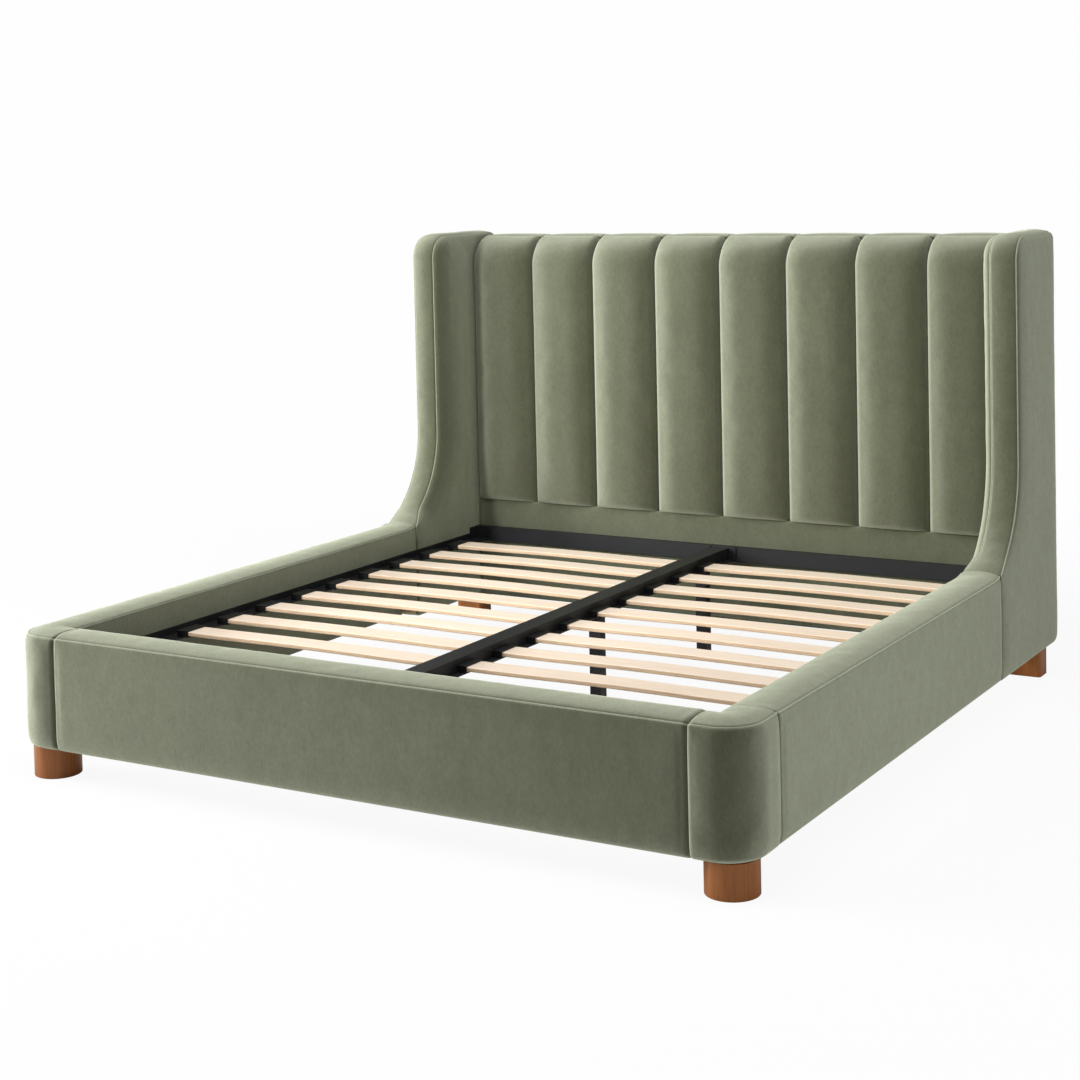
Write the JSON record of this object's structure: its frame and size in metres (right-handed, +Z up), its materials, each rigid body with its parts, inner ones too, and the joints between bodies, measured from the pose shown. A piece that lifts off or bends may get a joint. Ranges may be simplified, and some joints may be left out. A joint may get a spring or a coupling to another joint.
{
  "type": "wingback bed",
  "caption": "Upholstered wingback bed with vertical headboard channels, sweeping wings, padded rails, slatted steel frame with centre legs, and wooden feet.",
  "frame": {"origin": "on the floor, midway between the two sides and midway between foot and head", "axes": "+X to the right side seen from the foot, +Y from the footboard to the headboard, +Z up"},
  "size_m": [2.18, 2.34, 1.388],
  "materials": {
    "velvet": "short pile velvet, sage green",
    "timber": "sawn softwood and plywood",
    "black_steel": "satin black powder coat",
    "black_plastic": "moulded, matte",
    "birch": "pale laminated birch, clear",
    "foot_wood": "reddish brown stain, satin",
    "bolt_steel": "zinc plated"
  },
  "bodies": {
    "bed": {"footboard_pad": "velvet", "front_corner_pad_left": "velvet", "front_corner_pad_right": "velvet", "side_rail_pad_left": "velvet", "side_rail_pad_right": "velvet", "wing_pad_left": "velvet", "wing_pad_right": "velvet", "headboard_lower_band": "velvet", "headboard_back_panel": "velvet", "headboard_channel_1": "velvet", "headboard_channel_2": "velvet", "headboard_channel_3": "velvet", "headboard_channel_4": "velvet", "headboard_channel_5": "velvet", "headboard_channel_6": "velvet", "headboard_channel_7": "velvet", "headboard_channel_8": "velvet", "headboard_frame": "timber", "footboard_frame": "timber", "side_rail_frame_left": "timber", "side_rail_frame_right": "timber", "wing_frame_left": "timber", "wing_frame_right": "timber", "steel_side_rail_left": "black_steel", "steel_side_rail_right": "black_steel", "steel_head_rail": "black_steel", "steel_foot_rail": "black_steel", "centre_beam": "black_steel", "steel_brackets": "black_steel", "centre_legs": "black_steel", "slat_holders": "black_plastic", "slat_left_01": "birch", "slat_left_02": "birch", "slat_left_03": "birch", "slat_left_04": "birch", "slat_left_05": "birch", "slat_left_06": "birch", "slat_left_07": "birch", "slat_left_08": "birch", "slat_left_09": "birch", "slat_left_10": "birch", "slat_right_01": "birch", "slat_right_02": "birch", "slat_right_03": "birch", "slat_right_04": "birch", "slat_right_05": "birch", "slat_right_06": "birch", "slat_right_07": "birch", "slat_right_08": "birch", "slat_right_09": "birch", "slat_right_10": "birch", "front_foot_left": "foot_wood", "front_foot_right": "foot_wood", "rear_foot_left": "foot_wood", "rear_foot_right": "foot_wood", "foot_bolts": "bolt_steel", "frame_bolts": "bolt_steel"},
    "glide_1": {"centre_leg_glide_1": "black_plastic"},
    "glide_2": {"centre_leg_glide_2": "black_plastic"}
  },
  "joints": [
    {"name": "glide_1_adjust", "type": "slide", "parent": "bed", "child": "glide_1", "axis": [0, 0, -1], "range_m": [0, 0.015]},
    {"name": "glide_2_adjust", "type": "slide", "parent": "bed", "child": "glide_2", "axis": [0, 0, -1], "range_m": [0, 0.015]}
  ]
}
